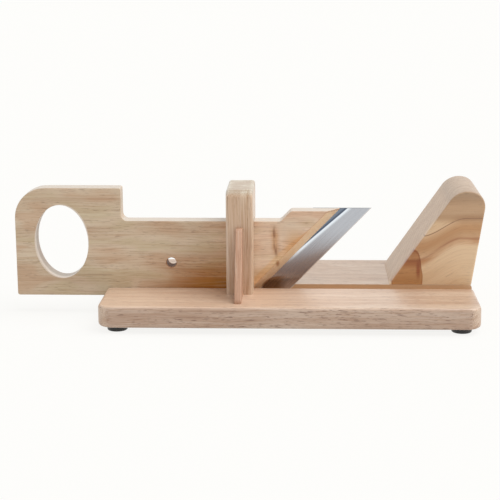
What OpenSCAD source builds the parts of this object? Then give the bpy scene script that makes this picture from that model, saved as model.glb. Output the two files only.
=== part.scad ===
/* [Base board] */
// Length of the board, left to right
base_len = 350; // [320:1:460]
// Depth of the board, front to back
base_depth = 200; // [190:1:260]
// Thickness of the board
base_thick = 20; // [17:0.5:30]
// Depth of the landing in front of the groove
front_land = 74; // [68:1:95]
// Depth of the groove that the slider runs in
groove_deep = 8; // [5:0.5:10]
// Radius of the board's long edges and end edges
base_edge_r = 3; // [1:0.5:5]
// Radius of the board's four corners, seen from above
base_corner_r = 14; // [4:0.5:20]
// Radius that eases the two lips of the groove
groove_lip_r = 0.8; // [0.4:0.1:2]

/* [Feet] */
// Widest diameter of a foot
foot_d = 20; // [18:0.5:28]
// Height of a foot
foot_h = 5.5; // [5:0.5:12]
// Distance of a foot's centre from the board's two nearest sides
foot_inset = 17; // [15:0.5:30]
// How much narrower a foot is at the floor than at the board
foot_taper = 1.6; // [0:0.1:3]
// Radius of the foot's lower rim
foot_rim_r = 1.2; // [0.4:0.1:1.4]
// Depth of the recess that hides the foot's screw head
foot_recess = 3.3; // [3.2:0.1:3.6]

/* [Slider] */
// Thickness of the plank
plank_thick = 17.5; // [15:0.5:22]
// Gap between the blade's tip and the stop block's face, level with the tip, as photographed
mouth_wide = 70; // [50:0.5:85]
// Gap between the post and the foot of the ramp, as photographed
ramp_gap = 25.5; // [8:0.5:50]
// Gap between the handle and the post, as photographed
step_gap = 101.3; // [85:0.1:120]
// Length of the handle
handle_len = 101.7; // [88:0.1:115]
// Height of the handle
handle_h = 104.5; // [94:0.5:120]
// Height of the plank's middle, which runs through the post
middle_h = 73; // [60:1:78]
// How much higher the plank's nose is, which carries the blade
nose_rise = 10; // [6:0.5:15]
// Slope of the ramp between the middle and the nose, in degrees
ramp_slope = 45; // [30:1:60]
// Length of the nose's top, from the ramp to the blade
nose_top_len = 46.6; // [34:0.5:56]
// How far the nose is cut back at its front face, so that slices fall clear
nose_cut_back = 12; // [4:0.5:14]
// Radius of the handle's top corner
handle_r = 29.5; // [10:0.5:36]
// Radius of the handle's other outer corners
handle_small_r = 2; // [0.5:0.5:4]
// Radius of the fillet at the foot of the handle
step_r = 6; // [3:0.5:8]
// Radius that softens the ramp's two ends
ramp_r = 4; // [1:0.5:6]

/* [Finger hole] */
// Width of the oval hole
finger_wide = 50.6; // [40:0.5:56]
// Height of the oval hole
finger_high = 70.4; // [58:0.5:76]
// Distance of the hole's centre from the handle's end
finger_from_end = 44.3; // [38:0.5:52]
// Height of the hole's centre above the plank's underside
finger_up = 52.7; // [46:0.5:58]
// Lean of the hole towards the handle's end, in degrees
finger_lean = 4.5; // [0:0.5:8]

/* [Pin hole] */
// Diameter of the round hole through the plank's middle
pin_hole_d = 9.6; // [6:0.1:12]
// Distance of the hole's centre from the handle
pin_hole_from_step = 47.5; // [30:0.5:60]
// Height of the hole's centre above the plank's underside
pin_hole_up = 32.6; // [15:0.2:55]

/* [Blade] */
// Thickness of the blade
blade_thick = 2; // [1.5:0.1:3]
// Slant of the blade away from upright, in degrees
blade_slant = 44; // [35:1:48]
// Width of the blade, square to its cutting edge
blade_wide = 40; // [34:0.5:48]
// How much of that width stands out past the wood
blade_show = 21.3; // [15:0.1:24]
// Width of the ground bevel
grind_wide = 15.5; // [8:0.5:20]
// Thickness left at the cutting edge
edge_thick = 0.3; // [0.2:0.1:0.6]

/* [Guide post] */
// Width of the post, along the slider
post_wide = 25; // [18:0.5:32]
// Depth of the post's front leg
front_leg = 25.5; // [18:0.5:30]
// Depth of the post's rear leg
rear_leg = 22.5; // [18:0.5:40]
// Height of the post's bridge above its slot
post_bridge = 33; // [20:0.5:45]
// Radius of the post's front and rear top edges
post_top_r = 7; // [2:0.5:8]
// Radius of the post's upright edges and side top edges
post_edge_r = 2.5; // [1:0.5:4]

/* [Brace] */
// Thickness of the brace
brace_thick = 6.5; // [4:0.5:10]
// How far the brace reaches out in front of the post
brace_reach = 35; // [25:0.5:38]
// Height of the brace above the board
brace_h = 64; // [45:1:75]
// Width of the brace's rounded top
brace_cap = 5; // [3:0.5:8]
// Height of the blunt toe at the brace's foot
brace_toe = 3; // [1:0.5:6]

/* [Stop block] */
// Length of the block's foot
block_foot = 78.7; // [68:0.1:94]
// Distance of the block's foot from the board's right end
block_inset = 0.5; // [0:0.5:12]
// Height of the block above the board
block_h = 91; // [78:1:100]
// Distance from the block's back to the board's rear edge
block_back_land = 15; // [5:0.5:40]
// Lean of the cutting face away from upright, in degrees
block_slope = 34.6; // [20:0.2:38]
// Outward lean of the block's right side, in degrees
block_flare = 8.6; // [0:0.2:10]
// Radius where the cutting face rolls over into the top
block_brow_r = 19; // [8:1:24]
// Radius of the block's top right corner
block_corner_r = 15.5; // [4:0.5:16]

/* [Fits] */
// Gap on each side of the slider, in the groove and in the post
side_gap = 0.25; // [0.1:0.05:0.6]
// Gap between the slider and the groove's floor
under_gap = 0.2; // [0.1:0.05:0.6]
// Gap between the slider's middle and the roof of the post's slot
over_gap = 0.8; // [0.3:0.1:1.5]
// Gap between the blade's lower end and the groove's floor
blade_floor_gap = 0.5; // [0.3:0.1:1]
// Gap around the blade in its pocket
pocket_gap = 0.1; // [0.05:0.05:0.3]
// Gap around every screw in its hole
screw_gap = 0.1; // [0.05:0.05:0.3]

/* [Screws] */
// Diameter of the screws that hold the post and the block
wood_screw_d = 4.5; // [3.5:0.1:5]
// Length of those screws
wood_screw_len = 50; // [40:1:60]
// Distance of the block's screws from the right, front and back of its foot
block_screw_inset = 20; // [14:1:24]
// Wood between the cutting face and the tips of the block's two left screws
block_screw_wall = 8; // [4:0.5:14]
// Diameter of the blade's screws
blade_screw_d = 3.5; // [2.5:0.1:4]
// Length of the blade's screws
blade_screw_len = 12; // [8:0.5:13]
// Distance of the blade's screws from its back edge
blade_screw_in = 8; // [6:0.5:9]
// Distance of the blade's outer screws from its two ends, measured upright
blade_screw_end = 14; // [10:1:20]
// Diameter of the screws that hold the feet
foot_screw_d = 3.5; // [2.5:0.1:4]
// Length of a foot's screw under its head
foot_screw_len = 14; // [10:0.5:16]
// Height of a foot screw's rounded head
foot_screw_head_h = 2.4; // [1.8:0.1:2.8]

/* [Hidden] */

pale_wood = [0.82, 0.71, 0.58];
plank_wood = [0.76, 0.64, 0.51];
pink_wood = [0.75, 0.60, 0.49];
block_wood = [0.77, 0.63, 0.48];
steel = [0.74, 0.76, 0.79];
screw_steel = [0.62, 0.62, 0.60];
dark_rubber = [0.13, 0.12, 0.12];

// Cuts run past the faces that they open by this much
overrun = 1;
$fn = 96;
// Arcs at slanted corners turn by about this many degrees a step
arc_step = 4;
// The oval hole is drawn with this many points
finger_steps = 72;
// Angles that differ by less than this, in degrees, count as equal
nearly_nothing = 0.0001;

// Heights above the surface that the board stands on
board_under = foot_h;
board_top = foot_h + base_thick;
groove_floor = board_top - groove_deep;
plank_under = groove_floor + under_gap;
middle_top = plank_under + middle_h;
nose_h = middle_h + nose_rise;
nose_top = plank_under + nose_h;
handle_top = plank_under + handle_h;
slot_roof = middle_top + over_gap;
blade_low = groove_floor + blade_floor_gap;

// Places from front to back, measured from the board's middle
board_front = -base_depth / 2;
groove_front = board_front + front_land;
groove_back = groove_front + plank_thick + 2 * side_gap;
plank_front = groove_front + side_gap;
plank_back = plank_front + plank_thick;
blade_front = plank_back - blade_thick;
post_front = groove_front - front_leg;
post_back = groove_back + rear_leg;
block_back = base_depth / 2 - block_back_land;

// Places along the board, measured from its middle, worked out from the block back to the handle
board_right = base_len / 2;
block_right_x = board_right - block_inset;
block_left_x = block_right_x - block_foot;
block_top = board_top + block_h;
// The blade's cutting edge meets the level of the nose's top at this point
tip_x = block_left_x + (nose_top - board_top) * tan(block_slope) - mouth_wide;
// The wood ends, in the blade's plane, along a slanted line through this top point
nose_end_x = tip_x - blade_show / cos(blade_slant);
ramp_top_x = nose_end_x - nose_top_len;
ramp_foot_x = ramp_top_x - nose_rise / tan(ramp_slope);
post_right = ramp_foot_x - ramp_gap;
post_left = post_right - post_wide;
post_mid_x = (post_left + post_right) / 2;
post_top = slot_roof + post_bridge;
step_x = post_left - step_gap;
plank_left = step_x - handle_len;

// Screw heads and tips, as shares of the screw's diameter
head_share = 2;
head_h_share = 0.55;
tip_share = 1.6;
drive_wide_share = 0.28;
drive_long_share = 1.3;
drive_deep_share = 0.32;
foot_washer_share = 1.35;

// The block's outline, with its sharp corners before they are rounded
block_points = [
    [block_left_x, board_top],
    [block_right_x, board_top],
    [block_right_x + block_h * tan(block_flare), block_top],
    [block_left_x + block_h * tan(block_slope), block_top]
];
// Share of the block's top that stays flat at the least, between its two rounded corners
flat_top_share = 0.04;
block_top_len = block_points[2][0] - block_points[3][0];
block_runs = run_in(block_points, 2, block_corner_r) + run_in(block_points, 3, block_brow_r);
round_share = min(1, block_top_len * (1 - flat_top_share) / block_runs);
block_radii = [0, 0, block_corner_r * round_share, block_brow_r * round_share];

// The object's two ends, and the middle between them, which is set at zero
far_left = min(plank_left, -board_right);
far_right = max(board_right, corner_centre(block_points, 2, block_radii[2])[0] + block_radii[2]);
middle_x = (far_left + far_right) / 2;

// Unit direction from one point to another
function toward(a, b) = (b - a) / norm(b - a);

// The neighbours of a corner, going round the outline
function before(points, i) = points[(i + len(points) - 1) % len(points)];
function after(points, i) = points[(i + 1) % len(points)];

// Half of the angle between a corner's two sides
function half_angle(points, i) =
    acos(toward(points[i], before(points, i)) * toward(points[i], after(points, i))) / 2;

// Distance from a corner to the places where its rounding starts
function run_in(points, i, r) = r / tan(half_angle(points, i));

// Centre of the circle that rounds a corner
function corner_centre(points, i, r) =
    let (inward = toward(points[i], before(points, i)) + toward(points[i], after(points, i)))
    points[i] + inward / norm(inward) * r / sin(half_angle(points, i));

// The two places where a rounded corner leaves its sides
function corner_ends(points, i, r) = [
    points[i] + toward(points[i], before(points, i)) * run_in(points, i, r),
    points[i] + toward(points[i], after(points, i)) * run_in(points, i, r)
];

// Positive where an outline that runs anticlockwise turns outwards
function turn(points, i) =
    let (a = points[i] - before(points, i), b = after(points, i) - points[i])
    a[0] * b[1] - a[1] * b[0];

// True where a corner's sides stand square to each other
function squared(points, i) = abs(half_angle(points, i) - 45) < nearly_nothing;

// The arc that rounds a slanted corner, as short even steps from its first end to its last
function corner_steps(points, i, r) =
    let (centre = corner_centre(points, i, r))
    let (start = corner_ends(points, i, r)[0] - centre)
    let (sweep = sign(turn(points, i)) * (180 - 2 * half_angle(points, i)))
    let (steps = ceil(abs(sweep) / arc_step))
    [for (k = [0 : steps])
        centre + r * [
            cos(atan2(start[1], start[0]) + sweep * k / steps),
            sin(atan2(start[1], start[0]) + sweep * k / steps)
        ]];

// The points of one corner: sharp, cut straight for a true arc, or stepped
function corner_points(points, i, r) =
    r == 0 ? [points[i]] : squared(points, i) ? corner_ends(points, i, r) : corner_steps(points, i, r);

// An outline with a radius for each corner. Square corners become true arcs.
module soft_outline(points, radii) {
    arcs = [for (i = [0 : len(points) - 1]) if (radii[i] > 0 && squared(points, i)) i];
    difference() {
        polygon([for (i = [0 : len(points) - 1]) each corner_points(points, i, radii[i])]);
        for (i = arcs) if (turn(points, i) < 0) round_at(points, i, radii[i]);
    }
    for (i = arcs) if (turn(points, i) > 0) round_at(points, i, radii[i]);
}

// The quarter of a circle that rounds one square corner
module round_at(points, i, r) {
    centre = corner_centre(points, i, r);
    ends = corner_ends(points, i, r);
    intersection() {
        translate(centre) circle(r = r);
        polygon([centre, ends[0], points[i], ends[1]]);
    }
}

// The corners of a rectangle, anticlockwise from its lower left
function rectangle(low, high) = [low, [high[0], low[1]], high, [low[0], high[1]]];

// Moves what is measured from the board's middle into the object's own frame
module in_place() {
    translate([-middle_x, 0, 0]) children();
}

// A section that is seen from the right, pushed from left to right
module along_x(from_x, to_x) {
    translate([from_x, 0, 0]) rotate([90, 0, 90]) linear_extrude(to_x - from_x) children();
}

// A section that is seen from the front, pushed from front to back
module along_y(from_y, to_y) {
    translate([0, to_y, 0]) rotate([90, 0, 0]) linear_extrude(to_y - from_y) children();
}

// A section that is seen from above, pushed upwards
module along_z(from_z, to_z) {
    translate([0, 0, from_z]) linear_extrude(to_z - from_z) children();
}

// Everything at or below the slanted line of the blade, moved by a distance square to it
module slanted(across) {
    translate([nose_end_x, 0, nose_top])
        rotate([0, blade_slant, 0])
            translate([across, 0, 0]) children();
}

// The cross-shaped recess in a screw's head, cut down from its top
module cross_recess(d) {
    deep = d * drive_deep_share;
    for (turned = [0, 90])
        rotate([0, 0, turned])
            translate([-d * drive_long_share / 2, -d * drive_wide_share / 2, -deep])
                cube([d * drive_long_share, d * drive_wide_share, deep + overrun]);
}

// A countersunk wood screw that points down from the origin
module countersunk_screw(d, length) {
    difference() {
        rotate_extrude() polygon([
            [0, 0],
            [d * head_share / 2, 0],
            [d / 2, -d * head_h_share],
            [d / 2, -length + d * tip_share],
            [0, -length]
        ]);
        cross_recess(d);
    }
}

// The drilled and countersunk hole for such a screw, open above the origin
module countersunk_hole(d, length) {
    head_r = d * head_share / 2 + screw_gap;
    shank_r = d / 2 + screw_gap;
    rotate_extrude() polygon([
        [0, overrun],
        [head_r, overrun],
        [head_r, 0],
        [shank_r, -d * head_h_share],
        [shank_r, -length - screw_gap],
        [0, -length - screw_gap]
    ]);
}

// A wood screw with a rounded head, whose head stands on the origin and points up
module round_head_screw(d, length, head_h) {
    head_r = d * head_share / 2;
    dome_r = (head_r * head_r + head_h * head_h) / (2 * head_h);
    difference() {
        union() {
            intersection() {
                translate([0, 0, head_h - dome_r]) sphere(r = dome_r);
                cylinder(h = head_h, r = head_r);
            }
            rotate_extrude() polygon([
                [0, 0],
                [d / 2, 0],
                [d / 2, -length + d * tip_share],
                [0, -length]
            ]);
        }
        translate([0, 0, head_h]) cross_recess(d);
    }
}

// Puts the post's screws at the middle of its two legs, with their heads under the board
module at_post_screws() {
    for (y = [(post_front + groove_front) / 2, (groove_back + post_back) / 2])
        translate([post_mid_x, y, board_under]) mirror([0, 0, 1]) children();
}

// Puts the block's four screws near the corners of its foot, with their heads under the board
module at_block_screws() {
    tip_up = board_under + wood_screw_len - board_top;
    left_x = block_left_x + tip_up * tan(block_slope) + block_screw_wall;
    for (x = [left_x, block_right_x - block_screw_inset])
        for (y = [groove_back + block_screw_inset, block_back - block_screw_inset])
            translate([x, y, board_under]) mirror([0, 0, 1]) children();
}

// Puts a foot under one corner of the board
module at_foot(side, end) {
    translate([side * (board_right - foot_inset), end * (base_depth / 2 - foot_inset), 0]) children();
}

// Puts a screw into each foot, with its head in the foot's recess
module at_foot_screws() {
    for (side = [-1, 1])
        for (end = [-1, 1])
            at_foot(side, end) translate([0, 0, foot_recess]) mirror([0, 0, 1]) children();
}

// Puts the blade's three screws along its back edge, with their heads in its rear face
module at_blade_screws() {
    middle_z = (blade_low + nose_top) / 2;
    for (z = [blade_low + blade_screw_end, middle_z, nose_top - blade_screw_end]) {
        back_edge_x = tip_x - blade_wide / cos(blade_slant) - (nose_top - z) * tan(blade_slant);
        translate([back_edge_x + blade_screw_in / cos(blade_slant), plank_back, z])
            rotate([-90, 0, 0]) children();
    }
}

// The board: eased on every edge, with the groove along its length
module base_board() {
    board_points = rectangle([-board_right, board_front], [board_right, -board_front]);
    end_points = rectangle([-board_right, board_under], [board_right, board_top]);
    section_points = [
        [board_front, board_under],
        [-board_front, board_under],
        [-board_front, board_top],
        [groove_back, board_top],
        [groove_back, groove_floor],
        [groove_front, groove_floor],
        [groove_front, board_top],
        [board_front, board_top]
    ];
    r = base_edge_r;
    lip = groove_lip_r;
    color(pale_wood) in_place() difference() {
        intersection() {
            along_z(board_under, board_top)
                soft_outline(board_points, [for (i = [0 : 3]) base_corner_r]);
            along_x(-board_right, board_right)
                soft_outline(section_points, [r, r, r, lip, 0, 0, lip, r]);
            along_y(board_front, -board_front)
                soft_outline(end_points, [for (i = [0 : 3]) r]);
        }
        at_post_screws() countersunk_hole(wood_screw_d, wood_screw_len);
        at_block_screws() countersunk_hole(wood_screw_d, wood_screw_len);
        at_foot_screws() foot_screw_hole();
    }
}

// The hole for a foot's screw
module foot_screw_hole() {
    mirror([0, 0, 1]) cylinder(h = foot_screw_len + screw_gap, r = foot_screw_d / 2 + screw_gap);
}

// The saddle-shaped post: two legs and a bridge, with the slot for the slider
module guide_post() {
    plan_points = rectangle([post_left, post_front], [post_right, post_back]);
    front_points = rectangle([post_left, board_top], [post_right, post_top]);
    side_points = [
        [post_front, board_top],
        [groove_front, board_top],
        [groove_front, slot_roof],
        [groove_back, slot_roof],
        [groove_back, board_top],
        [post_back, board_top],
        [post_back, post_top],
        [post_front, post_top]
    ];
    color(pale_wood) in_place() difference() {
        intersection() {
            along_x(post_left, post_right)
                soft_outline(side_points, [0, 0, 0, 0, 0, 0, post_top_r, post_top_r]);
            along_y(post_front, post_back)
                soft_outline(front_points, [0, 0, post_edge_r, post_edge_r]);
            along_z(board_top, post_top)
                soft_outline(plan_points, [for (i = [0 : 3]) post_edge_r]);
        }
        at_post_screws() countersunk_hole(wood_screw_d, wood_screw_len);
    }
}

// The thin brace that props the post from the front
module post_brace() {
    brace_front = post_front - brace_reach;
    brace_top = board_top + brace_h;
    points = [
        [brace_front, board_top],
        [post_front, board_top],
        [post_front, brace_top],
        [post_front - brace_cap, brace_top],
        [brace_front, board_top + brace_toe]
    ];
    color(pink_wood) in_place()
        along_x(post_mid_x - brace_thick / 2, post_mid_x + brace_thick / 2)
            soft_outline(points, [0, 0, 0, brace_cap, brace_toe]);
}

// The wedge-shaped block that the food is held against
module stop_block() {
    color(block_wood) in_place() difference() {
        along_y(groove_back, block_back) soft_outline(block_points, block_radii);
        at_block_screws() countersunk_hole(wood_screw_d, wood_screw_len);
    }
}

// The slider's outline, seen from the front, before its nose is cut to the blade's slant
module plank_outline() {
    points = [
        [plank_left, plank_under],
        [tip_x, plank_under],
        [tip_x, nose_top],
        [ramp_top_x, nose_top],
        [ramp_foot_x, middle_top],
        [step_x, middle_top],
        [step_x, handle_top],
        [plank_left, handle_top]
    ];
    small = handle_small_r;
    soft_outline(points, [small, 0, 0, ramp_r, ramp_r, step_r, small, handle_r]);
}

// The oval finger hole
module finger_hole() {
    turned = 360 / finger_steps;
    translate([plank_left + finger_from_end, plank_under + finger_up])
        rotate(finger_lean)
            polygon([for (i = [1 : finger_steps])
                [finger_wide / 2 * cos(i * turned), finger_high / 2 * sin(i * turned)]]);
}

// What is cut off the nose: along the blade's slant, and further back at the front face
module nose_cut() {
    long = 2 * nose_h / cos(blade_slant);
    cut_back = atan(nose_cut_back * cos(blade_slant) / (plank_thick - blade_thick));
    slanted(0) translate([0, blade_front, -long])
        rotate([0, 0, -cut_back])
            translate([0, -long, 0]) cube([long, 2 * long, 2 * long]);
}

// The shallow pocket in the plank's rear face that the blade lies in
module blade_pocket() {
    long = 2 * nose_h / cos(blade_slant);
    slanted(blade_show - blade_wide - pocket_gap)
        translate([0, blade_front, -long])
            cube([2 * blade_wide, blade_thick + overrun, 2 * long]);
}

// The plank that slides: handle, middle and nose in one piece
module slider_plank() {
    pin_x = step_x + pin_hole_from_step;
    pin_z = plank_under + pin_hole_up;
    color(plank_wood) in_place() difference() {
        along_y(plank_front, plank_back) difference() {
            plank_outline();
            finger_hole();
            translate([pin_x, pin_z]) circle(d = pin_hole_d);
        }
        nose_cut();
        blade_pocket();
        at_blade_screws() countersunk_hole(blade_screw_d, blade_screw_len);
    }
}

// The blade: a slanted strip, ground on its front side, with level ends
module blade() {
    long = 2 * nose_h / cos(blade_slant);
    back = blade_show - blade_wide;
    color(steel) in_place() difference() {
        intersection() {
            slanted(0) along_z(-long, long) polygon([
                [back, blade_front],
                [blade_show - grind_wide, blade_front],
                [blade_show, plank_back - edge_thick],
                [blade_show, plank_back],
                [back, plank_back]
            ]);
            translate([plank_left, blade_front - overrun, blade_low])
                cube([far_right - plank_left, blade_thick + 2 * overrun, nose_top - blade_low]);
        }
        at_blade_screws() countersunk_hole(blade_screw_d, blade_screw_len);
    }
}

// The three screws that hold the blade
module blade_screws() {
    color(screw_steel) in_place()
        at_blade_screws() countersunk_screw(blade_screw_d, blade_screw_len);
}

// The two screws that hold the post from below
module post_screws() {
    color(screw_steel) in_place()
        at_post_screws() countersunk_screw(wood_screw_d, wood_screw_len);
}

// The four screws that hold the block from below
module stop_block_screws() {
    color(screw_steel) in_place()
        at_block_screws() countersunk_screw(wood_screw_d, wood_screw_len);
}

// The four screws that hold the feet
module foot_screws() {
    color(screw_steel) in_place()
        at_foot_screws() round_head_screw(foot_screw_d, foot_screw_len, foot_screw_head_h);
}

// A round rubber foot with a recess for its screw
module foot(side, end) {
    recess_r = foot_screw_d * foot_washer_share;
    hole_r = foot_screw_d / 2 + screw_gap;
    floor_r = (foot_d - foot_taper) / 2;
    points = [
        [hole_r, foot_recess],
        [recess_r, foot_recess],
        [recess_r, 0],
        [floor_r, 0],
        [foot_d / 2, foot_h],
        [hole_r, foot_h]
    ];
    color(dark_rubber) in_place() at_foot(side, end)
        rotate_extrude() soft_outline(points, [0, 0, 0, foot_rim_r, 0, 0]);
}

module foot_front_left() { foot(-1, -1); }
module foot_front_right() { foot(1, -1); }
module foot_rear_left() { foot(-1, 1); }
module foot_rear_right() { foot(1, 1); }

base_board();
guide_post();
post_brace();
stop_block();
slider_plank();
blade();
blade_screws();
post_screws();
stop_block_screws();
foot_screws();
foot_front_left();
foot_front_right();
foot_rear_left();
foot_rear_right();
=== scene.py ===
# %% [markdown]
# # A wooden sausage guillotine
# The cutter is a grooved board, a post that guides a sliding plank, a slanted blade on the plank's nose and
# a wedge-shaped block that the food is held against. This lesson builds the woodwork, the blade and the
# feet around a frame of exact solids, gives each a finish made of nodes, and sets up a small photo studio.
#
# The frame comes first, because every piece takes its place from it. All lengths in Blender are metres, so
# a named millimetre keeps the woodworker's numbers readable.

# %% Load the frame
import math

import bmesh
import bpy
from mathutils import Matrix, Vector


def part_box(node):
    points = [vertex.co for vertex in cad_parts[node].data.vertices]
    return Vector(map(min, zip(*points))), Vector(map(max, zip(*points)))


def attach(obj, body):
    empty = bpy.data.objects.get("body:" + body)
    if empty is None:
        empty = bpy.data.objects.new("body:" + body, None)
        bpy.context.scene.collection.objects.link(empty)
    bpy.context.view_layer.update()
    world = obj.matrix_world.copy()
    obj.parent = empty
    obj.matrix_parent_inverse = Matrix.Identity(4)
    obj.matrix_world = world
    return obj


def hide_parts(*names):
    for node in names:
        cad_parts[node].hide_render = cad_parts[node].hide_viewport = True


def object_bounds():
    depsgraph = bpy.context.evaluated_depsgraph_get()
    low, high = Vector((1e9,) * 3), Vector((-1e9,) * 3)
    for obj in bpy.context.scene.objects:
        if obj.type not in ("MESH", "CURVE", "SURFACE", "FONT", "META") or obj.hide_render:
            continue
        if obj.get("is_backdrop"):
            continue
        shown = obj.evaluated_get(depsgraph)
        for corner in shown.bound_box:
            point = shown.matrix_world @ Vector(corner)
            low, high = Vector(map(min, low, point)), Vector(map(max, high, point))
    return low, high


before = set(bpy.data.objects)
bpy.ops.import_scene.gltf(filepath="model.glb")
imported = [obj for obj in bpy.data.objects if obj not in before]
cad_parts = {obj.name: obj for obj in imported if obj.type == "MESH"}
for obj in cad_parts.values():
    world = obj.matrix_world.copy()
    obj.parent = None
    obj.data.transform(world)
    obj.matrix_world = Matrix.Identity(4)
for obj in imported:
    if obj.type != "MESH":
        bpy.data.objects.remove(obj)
cad_low, cad_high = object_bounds()
mm = 0.001
print("the object is", [round(side / mm, 1) for side in cad_high - cad_low], "mm long, deep and high")

# %% [markdown]
# The places that two pieces share are read from the frame: the board's ends, the groove between the block
# and the plank, and the level of the board's top, on which the post and the block stand.

# %% Read the shared places
board_low, board_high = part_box("base_board")
post_low, post_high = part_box("guide_post")
brace_low, brace_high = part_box("post_brace")
block_low, block_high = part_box("stop_block")
plank_low, plank_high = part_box("slider_plank")
blade_low, blade_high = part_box("blade")
side_gap = block_low.y - plank_high.y
groove_front, groove_back = plank_low.y - side_gap, block_low.y
print("the groove is", round((groove_back - groove_front) / mm, 2), "mm wide")

# %% [markdown]
# A photographer settles the camera before the props. This one stands 1.3 m in front of the cutter and a
# third of a metre up, looks down by a little over 12 degrees, and has a long 100 mm lens, which keeps the
# board's edges almost parallel as in the picture.

# %% Set the camera
camera_place = Vector((58.5 * mm, -1314.3 * mm, 346.9 * mm))
look_down, look_left, tilt = 0.216766, 0.045047, -0.005539
lens_long, film_wide = 100, 36

camera = bpy.data.objects.new("camera", bpy.data.cameras.new("camera"))
bpy.context.scene.collection.objects.link(camera)
camera.data.lens = lens_long
camera.data.sensor_width = film_wide
turned = (
    Matrix.Rotation(look_left, 4, "Z")
    @ Matrix.Rotation(math.pi / 2 - look_down, 4, "X")
    @ Matrix.Rotation(tilt, 4, "Z")
)
camera.matrix_world = Matrix.Translation(camera_place) @ turned
bpy.context.scene.camera = camera
print("the camera looks down by", round(math.degrees(look_down), 1), "degrees")

# %% [markdown]
# Every wooden piece starts as a box between two corners and is then worked like timber: sawn with a plane,
# rolled over along its edges, drilled with a cutter. These helpers are the tools on the bench. `choose` is
# the most important one. By hand you would click on an edge; in a script you describe where it is, and the
# test picks it. The small functions after it write such tests, and `push` and `pull` move what was chosen.

# %% Tools for choosing
close_enough, straight_enough = 0.02 * mm, 0.999


def choose(kind, test):
    """Selects the points, edges or faces that pass the test, and nothing else."""
    bpy.ops.mesh.select_mode(type=kind)
    bpy.ops.mesh.select_all(action="DESELECT")
    mesh = bmesh.from_edit_mesh(bpy.context.object.data)
    parts = {"VERT": mesh.verts, "EDGE": mesh.edges, "FACE": mesh.faces}[kind]
    chosen = [part for part in parts if test(part)]
    for part in chosen:
        part.select_set(True)
    bmesh.update_edit_mesh(bpy.context.object.data)
    print("   chose", len(chosen), kind.lower())


def middle(part):
    """The middle of an edge or a face."""
    return sum((point.co for point in part.verts), Vector()) / len(part.verts)


def same(length, *others):
    """True where a length is equal, to a hair, to one of the others."""
    return any(abs(length - other) < close_enough for other in others)


def step_of(edge):
    """The step from one end of an edge to the other."""
    return edge.verts[1].co - edge.verts[0].co


def edges_at(along, **places):
    """A test for edges along X (0), Y (1) or Z (2), at places such as x=0.1 or z=0.2."""
    def test(edge):
        step = step_of(edge)
        parallel = abs(step[along]) > straight_enough * step.length
        return parallel and all(same(getattr(middle(edge), axis), at) for axis, at in places.items())
    return test


def facing(direction, nearly=0.9):
    """A test for the faces that look along a direction."""
    return lambda face: face.normal.dot(Vector(direction)) > nearly


# %% Tools for shaping
crease = math.radians(32)
past, drill_sides = 10 * mm, 32


def open_new(name):
    """Names the new primitive, puts its place into its mesh and enters edit mode."""
    piece = bpy.context.object
    piece.name = piece.data.name = name
    bpy.ops.object.transform_apply(location=True, rotation=True, scale=True)
    bpy.ops.object.mode_set(mode="EDIT")
    return piece


def start_box(name, low, high):
    """Adds a box between two corners and opens it in edit mode."""
    low, high = Vector(low), Vector(high)
    bpy.ops.object.select_all(action="DESELECT")
    bpy.ops.mesh.primitive_cube_add(size=1, location=(low + high) / 2, scale=high - low)
    return open_new(name)


def start_rod(name, centre, radius, length, sides=64, turn=(0, 0, 0), scale=(1, 1, 1)):
    """Adds an upright or turned rod, round or drawn out to an oval, and opens it in edit mode."""
    bpy.ops.object.select_all(action="DESELECT")
    bpy.ops.mesh.primitive_cylinder_add(
        vertices=sides, radius=radius, depth=length, location=centre, rotation=turn, scale=scale
    )
    return open_new(name)


def push(x=0, y=0, z=0):
    """Moves what was chosen."""
    bpy.ops.transform.translate(value=(x, y, z))


def pull(step):
    """Extrudes the chosen face by a step."""
    bpy.ops.mesh.extrude_region_move(TRANSFORM_OT_translate={"value": step})


def round_over(radius, segments, turn=math.pi / 2):
    """Rolls the chosen edges over. The bevel starts where an arc of that radius would touch both faces."""
    bpy.ops.mesh.bevel(offset=radius * math.tan(turn / 2), segments=segments, affect="EDGES")


def saw(point, normal, keep_both=False):
    """Cuts the whole piece along a plane, and drops what lies on the normal's side."""
    bpy.ops.mesh.select_all(action="SELECT")
    bpy.ops.mesh.bisect(plane_co=point, plane_no=normal, use_fill=not keep_both, clear_outer=not keep_both)


# %% [markdown]
# The next tools work on a piece as a whole, outside edit mode. `carve` is the drill and the plough: it
# takes the shape of a cutter out of a piece. `finish_piece` closes and smooths the piece, hangs it on the
# body that it moves with and hides the exact solid that it stands in for.

# %% Tools for whole pieces


def put_down(piece):
    """Leaves edit mode, with only this piece selected."""
    if bpy.context.object and bpy.context.object.mode == "EDIT":
        bpy.ops.object.mode_set(mode="OBJECT")
    bpy.ops.object.select_all(action="DESELECT")
    bpy.context.view_layer.objects.active = piece
    piece.select_set(True)


def apply_modifier(piece, kind, **settings):
    """Adds a modifier, sets it and applies it."""
    put_down(piece)
    bpy.ops.object.modifier_add(type=kind)
    modifier = piece.modifiers[-1]
    for name, value in settings.items():
        setattr(modifier, name, value)
    bpy.ops.object.modifier_apply(modifier=modifier.name)


def carve(piece, cutter):
    """Takes the cutter's shape out of a piece and throws the cutter away."""
    apply_modifier(piece, "BOOLEAN", object=cutter, solver="EXACT")
    bpy.data.objects.remove(cutter)


def countersink(piece, centre, radii, deep, steps, turn=(0, 0, 0)):
    """Drills for a flat-headed screw: a cone between two radii, with its two ends drawn out by steps."""
    bpy.ops.object.select_all(action="DESELECT")
    bpy.ops.mesh.primitive_cone_add(
        vertices=drill_sides, radius1=radii[0], radius2=radii[1], depth=deep, location=centre, rotation=turn
    )
    sink = open_new("sink")
    for step in steps:
        choose("FACE", facing(Vector(step).normalized()))
        pull(step)
    carve(piece, sink)


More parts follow.
